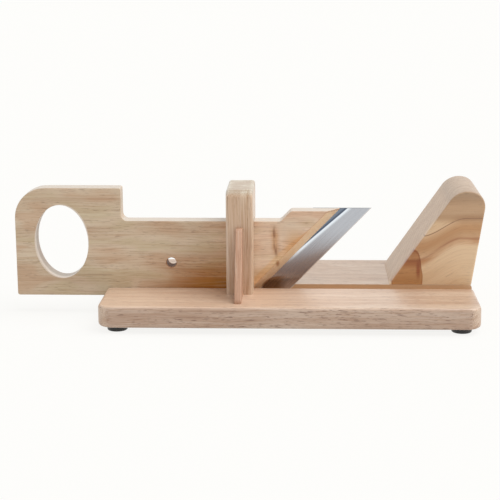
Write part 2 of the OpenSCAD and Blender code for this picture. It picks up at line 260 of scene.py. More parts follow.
def finish_piece(piece, body, node):
    """Closes the mesh, smooths its shading, and puts the piece in the frame instead of its node."""
    put_down(piece)
    bpy.ops.object.mode_set(mode="EDIT")
    bpy.ops.mesh.select_all(action="SELECT")
    bpy.ops.mesh.remove_doubles(threshold=close_enough / 10)
    bpy.ops.mesh.normals_make_consistent(inside=False)
    put_down(piece)
    bpy.ops.object.shade_smooth_by_angle(angle=crease)
    apply_modifier(piece, "WEIGHTED_NORMAL", keep_sharp=True)
    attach(piece, body)
    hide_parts(node)
    print(piece.name, "has", len(piece.data.polygons), "faces")


# %% [markdown]
# ## The board
# The board is a thick plank whose four corners are rounded in plan and whose level edges are rolled over,
# above and below. Rounding first and ploughing the groove afterwards is what a joiner does, and it is also
# the easy order here: the groove then cuts cleanly through the rolled edges at both ends. The lips of the
# groove are only touched with sandpaper.
#
# Underneath it is countersunk for six screws, two for the post and four for the block. Their places come
# from the screws' own solids, so the recesses fit the heads.

# %% Places of the screws
board_head_r, board_shank_r, board_sink_deep = 4.6 * mm, 2.35 * mm, 2.475 * mm


def box_middle(points):
    """The middle of the smallest box around some points."""
    low, high = (Vector(tuple(map(pick, zip(*points)))) for pick in (min, max))
    return (low + high) / 2


def separate_places(node, axis):
    """The middle of each screw in a node. Points close together, seen along the axis, are one screw."""
    groups = []
    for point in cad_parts[node].data.vertices:
        seen = point.co.copy()
        seen[axis] = 0
        near = [group for group in groups if (group[0] - seen).length < 2 * board_head_r]
        if near:
            near[0].append(seen)
        else:
            groups.append([seen])
    return [box_middle(group) for group in groups]


board_screws = separate_places("post_screws", 2) + separate_places("stop_block_screws", 2)
print("screws under the board:", [tuple(round(v / mm, 1) for v in place.xy) for place in board_screws])

# %% Shape the board
board_corner_r, board_edge_r, lip_r = 14 * mm, 3 * mm, 0.8 * mm
groove_floor = board_high.z - 8 * mm

board = start_box("oiled_board", board_low, board_high)
choose("EDGE", edges_at(2))
round_over(board_corner_r, segments=10)
choose("EDGE", lambda edge: same(step_of(edge).z, 0))
round_over(board_edge_r, segments=5)
put_down(board)
groove = start_box(
    "groove",
    (board_low.x - past, groove_front, groove_floor),
    (board_high.x + past, groove_back, board_high.z + past),
)
carve(board, groove)
bpy.ops.object.mode_set(mode="EDIT")
choose(
    "EDGE",
    lambda edge: edges_at(0, z=board_high.z)(edge) and same(middle(edge).y, groove_front, groove_back),
)
round_over(lip_r, segments=2)
put_down(board)
right_through = 2 * (board_high.z - board_low.z)
for place in board_screws:
    countersink(
        board, (place.x, place.y, board_low.z + board_sink_deep / 2), (board_head_r, board_shank_r),
        board_sink_deep, steps=((0, 0, right_through), (0, 0, -past)),
    )
finish_piece(board, "stand", "base_board")

# %% [markdown]
# ## The post
# The post straddles the plank like a saddle. Its front and rear top edges have a generous round, its other
# edges a small one. The slot is carved last, a little wider than the plank, so that its edges stay crisp
# enough to guide.

# %% Shape the post
post_top_r, post_edge_r, slot_edge_r = 7 * mm, 2.5 * mm, 0.5 * mm
handle_h, middle_h, nose_rise = 104.5 * mm, 73 * mm, 10 * mm
over_gap = 0.8 * mm
middle_top = plank_low.z + middle_h
slot_roof = middle_top + over_gap

post = start_box("oiled_post", post_low, post_high)
choose("EDGE", edges_at(0, z=post_high.z))
round_over(post_top_r, segments=8)
choose(
    "EDGE",
    lambda edge: middle(edge).z > post_low.z + close_enough
    and same(step_of(edge).x, 0)
    and same(middle(edge).x, post_low.x, post_high.x),
)
round_over(post_edge_r, segments=5)
put_down(post)
slot = start_box(
    "slot",
    (post_low.x - past, groove_front, post_low.z - past),
    (post_high.x + past, groove_back, slot_roof),
)
carve(post, slot)
bpy.ops.object.mode_set(mode="EDIT")
choose(
    "EDGE",
    lambda edge: same(middle(edge).x, post_low.x, post_high.x)
    and post_low.z + close_enough < middle(edge).z < slot_roof + close_enough
    and groove_front - close_enough < middle(edge).y < groove_back + close_enough,
)
round_over(slot_edge_r, segments=2)
finish_piece(post, "stand", "guide_post")

# %% [markdown]
# ## The brace
# The brace is a thin upright gusset, glued to the board and to the post's front. One saw cut turns the box
# into a wedge with a narrow cap and a blunt toe. Both corners of that cut are then rolled over, and the
# edges that stand free of the post and the board are sanded.

# %% Shape the brace
brace_cap, brace_toe, brace_edge_r = 5 * mm, 3 * mm, 0.9 * mm
cap_y, toe_z = brace_high.y - brace_cap, brace_low.z + brace_toe
slope = math.atan2(brace_high.z - toe_z, cap_y - brace_low.y)

brace = start_box("oiled_brace", brace_low, brace_high)
saw((0, cap_y, brace_high.z), (0, -math.sin(slope), math.cos(slope)))
choose("EDGE", edges_at(0, y=cap_y))
round_over(brace_cap, segments=5, turn=slope)
choose("EDGE", edges_at(0, z=toe_z))
round_over(brace_toe, segments=3, turn=math.pi / 2 - slope)
choose(
    "EDGE",
    lambda edge: not edges_at(0)(edge)
    and middle(edge).z > brace_low.z + close_enough
    and middle(edge).y < brace_high.y - close_enough,
)
round_over(brace_edge_r, segments=3)
finish_piece(brace, "stand", "post_brace")

# %% [markdown]
# ## The stop block
# The block is a box whose top is pushed to the right: the left points further than the right ones, so that
# the cutting face leans back and the other side flares a little. Its brow is a large round and its right
# corner a smaller one. The angle between the faces isn't square there, and `round_over` takes it into
# account.

# %% Shape the stop block
block_lean, block_flare = math.radians(34.6), math.radians(8.6)
block_foot = 78.7 * mm
block_brow_r, block_corner_r, block_edge_r = 19 * mm, 15.5 * mm, 1.5 * mm
block_height = block_high.z - block_low.z
foot_right = block_low.x + block_foot

block = start_box("oiled_block", block_low, (foot_right, block_high.y, block_high.z))
for foot_x, lean in ((block_low.x, block_lean), (foot_right, block_flare)):
    choose("VERT", lambda point: same(point.co.z, block_high.z) and same(point.co.x, foot_x))
    push(x=block_height * math.tan(lean))
brow_x = block_low.x + block_height * math.tan(block_lean)
choose("EDGE", edges_at(1, x=brow_x, z=block_high.z))
round_over(block_brow_r, segments=12, turn=math.pi / 2 - block_lean)
shoulder_x = foot_right + block_height * math.tan(block_flare)
choose("EDGE", edges_at(1, x=shoulder_x, z=block_high.z))
round_over(block_corner_r, segments=12, turn=math.pi / 2 + block_flare)
choose("EDGE", lambda edge: not edges_at(1)(edge) and middle(edge).z > block_low.z + close_enough)
round_over(block_edge_r, segments=4)
finish_piece(block, "stand", "stop_block")

# %% [markdown]
# ## The sliding plank
# The plank is one board on edge: a handle, a lower middle that runs through the post, and a nose that
# carries the blade. It starts as a box of the middle's height. Slicing it at the three places where the
# height changes lets the handle's top be extruded and the nose's top be lifted; the slice between them
# turns into the ramp by itself.

# %% Shape the plank's outline
handle_len, nose_top_len = 101.7 * mm, 46.6 * mm
blade_slant = math.radians(44)
blade_show = 21.3 * mm
tip_x, nose_top = blade_high.x, blade_high.z
nose_end_x = tip_x - blade_show / math.cos(blade_slant)
ramp_top_x = nose_end_x - nose_top_len
ramp_foot_x = ramp_top_x - nose_rise
step_x = plank_low.x + handle_len

plank = start_box("oiled_plank", plank_low, (tip_x, plank_high.y, middle_top))
for cut_x in (step_x, ramp_foot_x, ramp_top_x):
    saw((cut_x, 0, 0), (1, 0, 0), keep_both=True)
upwards = facing((0, 0, 1))
choose("FACE", lambda face: upwards(face) and middle(face).x < step_x)
pull((0, 0, handle_h - middle_h))
choose("FACE", lambda face: upwards(face) and middle(face).x > ramp_top_x)
push(z=nose_rise)

# %% Round the plank's corners
handle_r, small_r, step_r, ramp_r = 29.5 * mm, 2 * mm, 6 * mm, 4 * mm
square, ramp_turn = math.pi / 2, math.atan2(nose_rise, ramp_top_x - ramp_foot_x)
for x, z, radius, segments, turn in (
    (plank_low.x, plank_high.z, handle_r, 16, square),
    (plank_low.x, plank_low.z, small_r, 4, square),
    (step_x, plank_high.z, small_r, 4, square),
    (step_x, middle_top, step_r, 8, square),
    (ramp_foot_x, middle_top, ramp_r, 4, ramp_turn),
    (ramp_top_x, nose_top, ramp_r, 4, ramp_turn),
):
    choose("EDGE", edges_at(1, x=x, z=z))
    round_over(radius, segments, turn)

# %% [markdown]
# The nose is sawn along the blade's slant. The saw also leans back towards the front face, so that a slice
# falls clear of the wood. The finger hole is a leaning oval: a rod with an oval section does the carving.

# %% Cut the nose and drill the plank
nose_cut_back = 12 * mm
blade_thick = blade_high.y - blade_low.y
plank_thick = plank_high.y - plank_low.y
slant_cos, slant_sin = math.cos(blade_slant), math.sin(blade_slant)
lean_back = math.atan(nose_cut_back * slant_cos / (plank_thick - blade_thick))
saw(
    (nose_end_x, blade_low.y, nose_top),
    (slant_cos * math.cos(lean_back), -math.sin(lean_back), -slant_sin * math.cos(lean_back)),
)
put_down(plank)

finger_wide, finger_high, finger_lean = 50.6 * mm, 70.4 * mm, math.radians(4.5)
finger_place = plank_low + Vector((44.3 * mm, 0, 52.7 * mm))
pin_hole_r = 4.8 * mm
pin_place = Vector((step_x + 47.5 * mm, plank_low.y, plank_low.z + 32.6 * mm))
drill_long = 4 * plank_thick
finger_cutter = start_rod(
    "finger cutter", finger_place, 1, 1, sides=96, turn=(math.pi / 2, -finger_lean, 0),
    scale=(finger_wide / 2, finger_high / 2, drill_long),
)
carve(plank, finger_cutter)
pin_cutter = start_rod("pin cutter", pin_place, pin_hole_r, drill_long, sides=48, turn=(math.pi / 2, 0, 0))
carve(plank, pin_cutter)
apply_modifier(
    plank, "BEVEL", width=0.8 * mm, segments=3, limit_method="ANGLE", angle_limit=crease,
    use_clamp_overlap=False,
)

# %% [markdown]
# The blade lies in a shallow pocket in the rear face. The pocket's cutter is a box that leans like the
# blade: its top points are pushed along by the slant's tangent. The same move makes the blade itself
# further on.

# %% Cut the blade's pocket
blade_wide = 40 * mm
pocket_gap = 0.1 * mm


def lean_top(low_z, height):
    """Pushes the top of a box along X until its ends lie at the blade's slant."""
    choose("VERT", lambda point: point.co.z > low_z + height - close_enough)
    push(x=height * math.tan(blade_slant))


pocket_low, pocket_high = plank_low.z - past, nose_top + past
back_at_top = tip_x - (blade_wide + pocket_gap) / slant_cos
back_at_low = back_at_top - (nose_top - pocket_low) * math.tan(blade_slant)
pocket = start_box(
    "pocket",
    (back_at_low, blade_low.y, pocket_low),
    (back_at_low + 4 * blade_wide, plank_high.y + past, pocket_high),
)
lean_top(pocket_low, pocket_high - pocket_low)
carve(plank, pocket)
finish_piece(plank, "slider", "slider_plank")

# %% [markdown]
# ## The blade
# The blade is a steel strip with level ends. On its front side a wide bevel is ground down to the cutting
# edge. One saw cut marks where the grind starts, and the points at the edge are then moved back until only
# a third of a millimetre is left. A last narrow bevel along the edge is the one that a sharpening stone
# leaves, and it is what catches the light as a thin bright line. Three countersinks in the rear face take
# its screws.

# %% Shape the blade
grind_wide, edge_thick, stone_wide = 15.5 * mm, 0.3 * mm, 0.5 * mm
blade_height = blade_high.z - blade_low.z
drop = blade_height * math.tan(blade_slant)

blade = start_box(
    "ground_blade",
    (tip_x - blade_wide / slant_cos - drop, blade_low.y, blade_low.z),
    (tip_x - drop, blade_high.y, blade_high.z),
)
lean_top(blade_low.z, blade_height)
saw((tip_x - grind_wide / slant_cos, 0, nose_top), (slant_cos, 0, -slant_sin), keep_both=True)


def behind_edge(point):
    """How far a point lies behind the cutting edge, measured square to it."""
    return (tip_x - point.x) * slant_cos - (nose_top - point.z) * slant_sin


choose("VERT", lambda point: same(behind_edge(point.co), 0) and same(point.co.y, blade_low.y))
push(y=blade_thick - edge_thick)
choose(
    "EDGE",
    lambda edge: same(behind_edge(middle(edge)), 0) and same(middle(edge).y, blade_high.y - edge_thick),
)
bpy.ops.mesh.bevel(offset=stone_wide, segments=1, affect="EDGES")
put_down(blade)

blade_head_r, blade_shank_r, blade_sink_deep = 3.6 * mm, 1.85 * mm, 1.925 * mm
for place in separate_places("blade_screws", 1):
    countersink(
        blade, (place.x, blade_high.y - blade_sink_deep / 2, place.z), (blade_shank_r, blade_head_r),
        blade_sink_deep, steps=((0, past, 0), (0, -past, 0)), turn=(-math.pi / 2, 0, 0),
    )
finish_piece(blade, "slider", "blade")

# %% [markdown]
# ## The feet
# Each foot is a turned rubber puck that tapers towards the floor, with a recess that hides a screw head. It
# is made once, from a rod: the lower rim is drawn in and rolled over, the underside is inset and pushed up.
# The other three are copies, each with its own mesh.

# %% Shape one foot and copy it
foot_d, foot_taper, foot_rim_r = 20 * mm, 1.6 * mm, 1.2 * mm
foot_recess, recess_r, foot_hole_r = 3.3 * mm, 4.725 * mm, 1.85 * mm
rim_turn = math.radians(82)
foot_names = ("foot_front_left", "foot_front_right", "foot_rear_left", "foot_rear_right")
first_low, first_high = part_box(foot_names[0])
first_centre = (first_low + first_high) / 2

foot = start_rod("rubber_" + foot_names[0], first_centre, foot_d / 2, first_high.z - first_low.z)
choose("FACE", facing((0, 0, -1)))
narrower = (foot_d - foot_taper) / foot_d
bpy.ops.transform.resize(value=(narrower, narrower, 1), center_override=first_centre)
choose("EDGE", lambda edge: same(step_of(edge).z, 0) and same(middle(edge).z, first_low.z))
round_over(foot_rim_r, segments=4, turn=rim_turn)
choose("FACE", facing((0, 0, -1), nearly=0.99))
bpy.ops.mesh.inset(thickness=(foot_d - foot_taper) / 2 - foot_rim_r * math.tan(rim_turn / 2) - recess_r)
pull((0, 0, foot_recess))
put_down(foot)
carve(foot, start_rod("foot hole", first_centre, foot_hole_r, 4 * foot_d, sides=drill_sides))
feet = [foot]
for name in foot_names[1:]:
    twin = foot.copy()
    twin.data = foot.data.copy()
    twin.name = twin.data.name = "rubber_" + name
    bpy.context.scene.collection.objects.link(twin)
    low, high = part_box(name)
    twin.data.transform(Matrix.Translation((low + high) / 2 - first_centre))
    feet.append(twin)
for piece, name in zip(feet, foot_names):
    finish_piece(piece, "stand", name)

# %% [markdown]
# ## Nodes in few words
# A material is a small network of nodes, and a handful of functions keeps it short to write. Each returns
# the socket that the next one is fed with. A share is a number from 0 to 1 that says where something
# happens: `between`, `stretch` and `spot` make shares, `both` multiplies them, and `cover` and `stain` use
# them to lay a colour over another or to darken it. Noise hovers around a half, so a step from 0.4 to 0.6
# turns it into patches, and moving the step makes them larger or rarer. Colours are given as the eye reads
# them, from 0 to 255.

# %% Tools for materials
screen_gamma = 2.2


def add(kind, sockets=None, tree=None, **settings):
    """Adds a node, sets it, and feeds its sockets with values or with other nodes' outputs.

    It joins the tree of the outputs that feed it. A node that nothing feeds is told its tree.
    """
    sockets = sockets or {}
    fed_by = [value for value in sockets.values() if isinstance(value, bpy.types.NodeSocket)]
    tree = tree or fed_by[0].id_data
    made = tree.nodes.new(kind)
    for name, value in settings.items():
        setattr(made, name, value)
    for name, value in sockets.items():
        socket = made.inputs[name]
        if isinstance(value, bpy.types.NodeSocket):
            tree.links.new(value, socket)
        elif socket.type == "RGBA" and len(value) == 3:
            socket.default_value = tuple((part / 255) ** screen_gamma for part in value) + (1,)
        else:
            socket.default_value = value
    return made.outputs[0] if made.outputs else made


def maths(operation, a, b=0.0):
    """One sum on one or two numbers."""
    return add("ShaderNodeMath", {0: a, 1: b}, operation=operation)


def both(*shares):
    """The product of shares, which is full only where each of them is."""
    product = shares[0]
    for share in shares[1:]:
        product = maths("MULTIPLY", product, share)
    return product


def between(value, low, high, to_low=0.0, to_high=1.0):
    """A smooth step from one value to another while the input goes from low to high."""
    return add(
        "ShaderNodeMapRange",
        {"Value": value, "From Min": low, "From Max": high, "To Min": to_low, "To Max": to_high},
        interpolation_type="SMOOTHSTEP",
    )


def stretch(side, low, high, to_low=0.0, to_high=1.0, of=0.0):
    """The same smooth step along a side, between two places in mm, which may be measured from another."""
    return between(side, of + low * mm, of + high * mm, to_low, to_high)


def blend(share, first, second, mode="MIX"):
    """Two colours, mixed or multiplied by a share."""
    return add("ShaderNodeMixRGB", {"Fac": share, "Color1": first, "Color2": second}, blend_type=mode)


def cover(share, strength, colour, paint, mode="MIX"):
    """Lays a second colour over the first, where the share says."""
    return blend(both(share, strength), colour, paint, mode)


def stain(share, strength, colour, tint):
    """Darkens a colour by a tint, where the share says."""
    return cover(share, strength, colour, tint, "MULTIPLY")


def vectors(operation, a, b=(0, 0, 0)):
    """One sum on one or two places."""
    return add("ShaderNodeVectorMath", {0: a, 1: b}, operation=operation)


def parts_of(vector):
    """The X, Y and Z of a place."""
    return add("ShaderNodeSeparateXYZ", {0: vector}).node.outputs


def spot(place, centre, reach, solid):
    """A soft patch: 1 near its centre, 0 past its reach along each axis."""
    in_reaches = vectors("DIVIDE", vectors("SUBTRACT", place, centre), reach)
    length = vectors("LENGTH", in_reaches).node.outputs["Value"]
    return between(length, solid, 1.0, 1.0, 0.0)


def noise(place, scale, detail):
    """Cloudy noise."""
    return add("ShaderNodeTexNoise", {"Vector": place, "Scale": scale, "Detail": detail})


def streaks(place, long, wide, detail=2.0):
    """Noise that is drawn out along the grain: spots so long and so wide, in mm."""
    scale = (1 / (long * mm), 1 / (wide * mm), 1 / (wide * mm))
    return noise(add("ShaderNodeMapping", {"Vector": place, "Scale": scale}), 1.0, detail)


# %% Start a material and put it on


def start_material(name):
    """An empty material, with its shader and its output already joined."""
    material = bpy.data.materials.new(name)
    material.use_nodes = True
    tree = material.node_tree
    tree.nodes.clear()
    shader = tree.nodes.new("ShaderNodeBsdfPrincipled")
    add("ShaderNodeOutputMaterial", {"Surface": shader.outputs[0]})
    place = tree.nodes.new("ShaderNodeTexCoord").outputs["Object"]
    return material, shader, place


def feed(shader, **sources):
    """Feeds the shader's sockets. An underscore stands for the blank in a socket's name."""
    for name, source in sources.items():
        socket = shader.inputs[name.replace("_", " ")]
        if isinstance(source, bpy.types.NodeSocket):
            shader.id_data.links.new(source, socket)
        else:
            socket.default_value = source


def grainy(height, strength, distance):
    """A fine relief."""
    return add("ShaderNodeBump", {"Height": height, "Strength": strength, "Distance": distance})


def dress(piece, material):
    """Gives a piece its only material."""
    piece.data.materials.clear()
    piece.data.materials.append(material)
    print(piece.name, "wears", material.name)


# %% [markdown]
# ## Wood
# Timber is a solid thing, so its pattern is computed in space and not painted on faces. Object coordinates
# are turned until the grain runs along X. Then three scales are laid over each other: broad bands of pale
# and deep wood, growth rings around a pith that lies outside the board, and fine fibres and pores that are
# many times longer than wide. Because the pattern is solid, end grain appears at the ends by itself.
#
# What sets one piece apart comes in as functions. `figure` paints its own marks over the grain and `bend`
# lets the grain climb. `bare` says where the surface was left rough, and `dull` where the oil has dried
# out.

# %% Wood


def growth_rings(laid, pith, ring):
    """The dark late wood of each year's ring around the pith."""
    late_from, late_full, late_end = 0.3, 0.9, 0.93
    _, y, z = parts_of(laid)
    across = maths("SUBTRACT", y, pith[0])
    up = maths("SUBTRACT", z, pith[1])
    squares = maths("ADD", both(across, across), both(up, up))
    turns = maths("FRACT", maths("DIVIDE", maths("SQRT", squares), ring))
    return both(between(turns, late_from, late_full), between(turns, 1.0, late_end))


def wander(laid):
    """Lets the straight grain wander sideways by a few millimetres."""
    slow = add("ShaderNodeMapping", {"Vector": laid, "Scale": (9, 20, 20)})
    clouds = noise(slow, 1.0, 1.5).node.outputs["Color"]
    shift = vectors("SUBTRACT", clouds, (0.5, 0.5, 0.5))
    return vectors("ADD", laid, vectors("MULTIPLY", shift, (0, 8 * mm, 8 * mm)))


def wood(
    name, pale, deep, grain_turn=(0, 0, 0), pith=(0, 0), ring=7 * mm, rings=0.3, pores=0.6, lines=0.5,
    fibres=0.55, bend=None, figure=None, bare=None, dull=None,
):
    """A timber: its two colours, the turn that lays its grain along X, and how strong each layer is."""
    material, shader, place = start_material(name)
    straight = bend(place) if bend else place
    wavy = wander(add("ShaderNodeMapping", {"Vector": straight, "Rotation": grain_turn}))

    broad = between(streaks(wavy, 150, 14, 3.0), 0.36, 0.64)
    colour = blend(broad, pale, deep)
    late = growth_rings(wavy, pith, ring)
    fades = between(streaks(wavy, 120, 20, 1.0), 0.35, 0.6)
    colour = stain(both(late, fades), rings, colour, (200, 164, 132))

    fibre = streaks(wavy, 60, 0.8, 3.0)
    colour = stain(between(fibre, 0.4, 0.68), fibres, colour, (214, 188, 165))
    light_fibre = streaks(wavy, 45, 1.7)
    light_share = between(light_fibre, 0.55, 0.72, 0.0, min(0.25, fibres / 2))
    colour = blend(light_share, colour, (240, 222, 200))

    line = between(streaks(wavy, 110, 1.5, 1.0), 0.66, 0.74)
    colour = stain(line, lines, colour, (158, 116, 84))
    pore = between(streaks(wavy, 8, 0.5, 1.0), 0.6, 0.68)
    busy = between(streaks(wavy, 70, 6), 0.4, 0.58, 0.35, 1.0)
    pore = both(pore, busy)
    colour = stain(pore, pores, colour, (128, 88, 70))
    if figure:
        colour = figure(place, wavy, colour)

    relief = maths("SUBTRACT", both(fibre, 0.5), pore)
    roughness = between(fibre, 0.3, 0.7, 0.36, 0.5)
    if bare:
        roughness = maths("MAXIMUM", roughness, bare(place))
    feed(
        shader, Base_Color=colour, Normal=grainy(relief, 0.3, 0.15 * mm), Roughness=roughness,
        Coat_Weight=0.35, Coat_Roughness=0.3,
    )
    if dull:
        dry = dull(place)
        shine, oil = between(dry, 0.0, 1.0, 0.4, 0.08), between(dry, 0.0, 1.0, 0.35, 0.0)
        feed(shader, Specular_IOR_Level=shine, Coat_Weight=oil)
    return material


# %% [markdown]
# Each piece was sawn from another part of the tree, so each has its own figure. The board gets painted warm
# bounce light inside its groove, where light goes back and forth between the walls, a pale strip of painted
# light just in front of the groove and painted shade behind it. The post has a brown streak, a painted
# highlight along its left edge and a cool crown of painted sheen, and the brace's grain slopes like its
# edge.

# %% Board and post woods


def board_tones_and_painted_light(place, wavy, colour):
    """Painted bounce light in the groove, painted light in front of it, painted shade behind it, a cooler
    front face.
    """
    x, y, z = parts_of(place)
    sunk = stretch(z, -0.5, -0.1, 1.0, 0.0, of=board_high.z)
    behind_front = stretch(y, -0.6, -0.2, of=groove_front)
    before_back = stretch(y, 0.6, 0.2, of=groove_back)
    inside = both(behind_front, before_back)
    # painted warm bounce light and shade on the groove's walls and floor
    colour = cover(both(sunk, inside), 0.85, colour, (207, 168, 128))
    near_groove = stretch(y, 0, -2, of=groove_front)
    on_top = stretch(z, -1, -0.3, of=board_high.z)
    left_part = stretch(x, 150, 50)
    # a strip of painted light on the top just in front of the groove, towards the left
    colour = cover(both(near_groove, on_top, left_part), 0.3, colour, (238, 206, 179))
    behind_groove = stretch(y, 0.2, 0.8, of=groove_back)
    # painted shade: the board behind the groove is made a little darker and cooler
    colour = stain(behind_groove, 1.0, colour, (236, 238, 240))
    front_edge = stretch(y, 2, 0.6, of=board_low.y)
    return stain(front_edge, 1.0, colour, (240, 238, 240))


def post_streaks_and_painted_light(place, wavy, colour):
    """A brown streak up the front of the post, a painted highlight along its left edge and a crown of
    painted sheen.
    """
    x, _, z = parts_of(place)
    left_of_heart = stretch(x, -4.5, -2)
    right_of_heart = stretch(x, 2.5, 0)
    streaky = between(streaks(wavy, 90, 1.4), 0.4, 0.62)
    colour = stain(both(left_of_heart, right_of_heart, streaky), 0.6, colour, (218, 194, 166))
    # a painted highlight along the rounded left edge, broken up by the streaks
    left_edge = stretch(x, -17, -20)
    colour = cover(both(left_edge, streaky), 0.5, colour, (236, 220, 204))
    # painted sheen: the top is cooled towards grey
    crown = stretch(z, -6, -1, of=post_high.z)
    return stain(crown, 1.0, colour, (233, 247, 255))


dress(board, wood(
    "board wood", (212, 188, 166), (198, 169, 145), pith=(30 * mm, -90 * mm), pores=0.85, lines=0.3,
    figure=board_tones_and_painted_light,
))
upright_grain = (0, math.pi / 2, 0)
dress(post, wood(
    "post wood", (228, 207, 182), (205, 175, 147), upright_grain, pith=(60 * mm, 10 * mm), ring=9 * mm,
    pores=0.25, lines=0.6, figure=post_streaks_and_painted_light,
))
sloping_grain = (-slope, 0, -math.pi / 2)
dress(brace, wood(
    "brace wood", (202, 163, 137), (185, 141, 114), sloping_grain, pith=(40 * mm, 60 * mm), pores=0.3,
    lines=0.5,
))

# %% [markdown]
# The block shows the most figure: a dark heart in its lower left corner with a darker root in it, a reddish
# band that climbs across it, and a thin growth line above that. Each is placed on the front by its real
# position in the frame. Behind the front face the marks fade within some millimetres into plainer wood that
# shows its rings and fibres, made darker and cooler by painted shade, and the top gets painted shade too.

# %% Block wood


def climbing_grain(place):
    """Lets the grain climb to the right below the block's crown."""
    x, _, z = parts_of(place)
    rise = stretch(x, 160, 208, 0.0, 20 * mm)
    climb = both(rise, stretch(z, 97, 84))
    return vectors("SUBTRACT", place, add("ShaderNodeCombineXYZ", {"Z": climb}))


def block_line(x, z, heights, ends, width):
    """A line that climbs from one height to another between two places, and how near it is, all in mm."""
    curve = between(x, ends[0] * mm, ends[1] * mm, heights[0] * mm, heights[1] * mm)
    away = maths("ABSOLUTE", maths("SUBTRACT", z, curve))
    return between(away, 0.0, width * mm, 1.0, 0.0)


def from_middle(side, centre, half):
    """A number that is small inside a stretch around a centre and grows steeply past its ends, in mm."""
    shifted = maths("SUBTRACT", side, centre * mm)
    return maths("POWER", maths("ABSOLUTE", maths("DIVIDE", shifted, half * mm)), 4)


def block_heart(place, colour):
    """The dark heart with its rim, a rounded patch with a wobbly outline, and the root inside it."""
    x, _, z = parts_of(place)
    uneven = maths("SUBTRACT", streaks(place, 30, 30, 1.0), 0.5)
    wobble = both(uneven, 6 * mm)
    wide = from_middle(maths("ADD", x, wobble), 150, 14)
    tall = from_middle(maths("ADD", z, wobble), 26, 33)
    depth = maths("ADD", wide, tall)
    colour = stain(between(depth, 1.08, 0.9), 1.0, colour, (214, 182, 146))
    rim = both(between(depth, 0.7, 0.95), between(depth, 1.12, 1.0))
    colour = stain(rim, 0.65, colour, (200, 152, 108))
    root = spot(place, (161.5 * mm, block_low.y, 40 * mm), (3.5 * mm, 30 * mm, 13 * mm), 0.1)
    return stain(root, 0.8, colour, (190, 120, 78))


def plain_wood_in_painted_shade(place, wavy, colour):
    """Plain block wood behind the front: clear rings, coarse fibres, and a darker, cooler tone of painted
    shade.
    """
    rings = growth_rings(place, (-60 * mm, 260 * mm), 6 * mm)
    colour = stain(rings, 0.25, colour, (206, 172, 140))
    grained = between(streaks(wavy, 50, 0.9, 3.0), 0.42, 0.66)
    colour = stain(grained, 0.6, colour, (208, 184, 160))
    # painted shade: the faces behind the front are made darker and cooler
    return blend(1.0, colour, (232, 230, 234), "MULTIPLY")


# each climbing line: its heights, the places of its ends, its width, its strength and its tint
patchy_lines = (
    ((47, 69), (158, 202), 7, 0.8, (210, 164, 124)),
    ((49, 71), (158, 202), 2, 0.4, (186, 136, 98)),
    ((73, 90.5), (164, 206), 0.7, 0.9, (140, 104, 74)),
)


def block_figure_and_painted_shade(place, wavy, plain):
    """A dark heart, a red band and a growth line on the front; plainer wood in painted shade behind and on
    top.
    """
    x, y, z = parts_of(place)
    colour = block_heart(place, plain)
    patchy = between(streaks(wavy, 30, 5), 0.35, 0.6, 0.45, 1.0)
    for heights, ends, width, strength, tint in patchy_lines:
        line = block_line(x, z, heights, ends, width)
        colour = stain(both(line, patchy), strength, colour, tint)
    glow = block_line(x, z, (62, 81), (162, 206), 17)
    colour = stain(glow, 0.9, colour, (206, 173, 138))
    above = stretch(z, 84, 92)
    colour = stain(above, 1.0, colour, (212, 199, 190))
    # the faces behind the front turn into the plainer wood with its painted shade
    past_edge = stretch(y, 1, 2.5, of=block_low.y)
    plain = blend(past_edge, plain, plain_wood_in_painted_shade(place, wavy, plain))
    at_front = stretch(y, 2, 14, 1.0, 0.0, of=block_low.y)
    colour = blend(at_front, plain, colour)
    # painted shade on the block's top
    crown = stretch(z, -16, -2, of=block_high.z)
    return stain(crown, 1.0, colour, (226, 228, 232))


dress(block, wood(
    "block wood", (233, 203, 165), (223, 190, 150), pith=(-60 * mm, 260 * mm), ring=21 * mm, rings=0.04,
    pores=0.25, lines=0.06, fibres=0.16, bend=climbing_grain, figure=block_figure_and_painted_shade,
))

# %% [markdown]
# The plank is greyer and mottled towards its handle, and deep orange and dry low down beside the post; both
# tones are partly the wood's own and partly painted light and shade. Its nose has one small knot streak,
# and a painted shadow at its foot that the blade carries as a painted reflection. The sawn end beside the
# blade is fresh, so it is more yellow than the faces that were sanded and oiled, and it is painted paler
# still as light.
# Its arris is painted darker to tone down its highlight. Faces that look up get a painted pale sheen, the
# pin hole's wall was left bare by the drill and is painted dark as the shade inside it, and the finger
# hole's wall is painted lit at the front and shaded towards the rear.

# %% Places on the plank
plank_middle = (plank_low.y + plank_high.y) / 2
through_it = 90 * mm
nose_front = (tip_x - nose_end_x + nose_cut_back) * slant_cos
print("the sawn end meets the plank's front", round(nose_front / mm, 2), "mm behind the cutting edge")


def mark(place, x, z, wide, high, solid, y=plank_middle):
    """A patch right through the plank: its centre and its reach along X and Z, in mm."""
    return spot(place, (x * mm, y, z * mm), (wide * mm, through_it, high * mm), solid)


def across_blade(place):
    """How far a place lies behind the cutting edge, square to it."""
    x, _, z = parts_of(place)
    back = both(maths("SUBTRACT", tip_x, x), slant_cos)
    down = both(maths("SUBTRACT", nose_top, z), slant_sin)
    return maths("SUBTRACT", back, down)


def nose_foot_shadow(place):
    """The painted shadow at the foot of the nose, which the blade's foot carries as a painted reflection.
    """
    return mark(place, x=31, z=24, wide=21.5, high=11, solid=0.84, y=plank_low.y)


def pin_hole_wall(place):
    """The wall of the pin hole, left bare and rough by the drill and painted dark as the shade inside it.
    """
    reach = pin_hole_r + 0.5 * mm
    return spot(place, tuple(pin_place), (reach, through_it, reach), 0.96)


def shade_by_post(place):
    """The deep orange, dry wood low down beside the post, which is partly painted shade."""
    return mark(place, x=-32, z=22, wide=92, high=56, solid=0.1)


# %% Plank wood


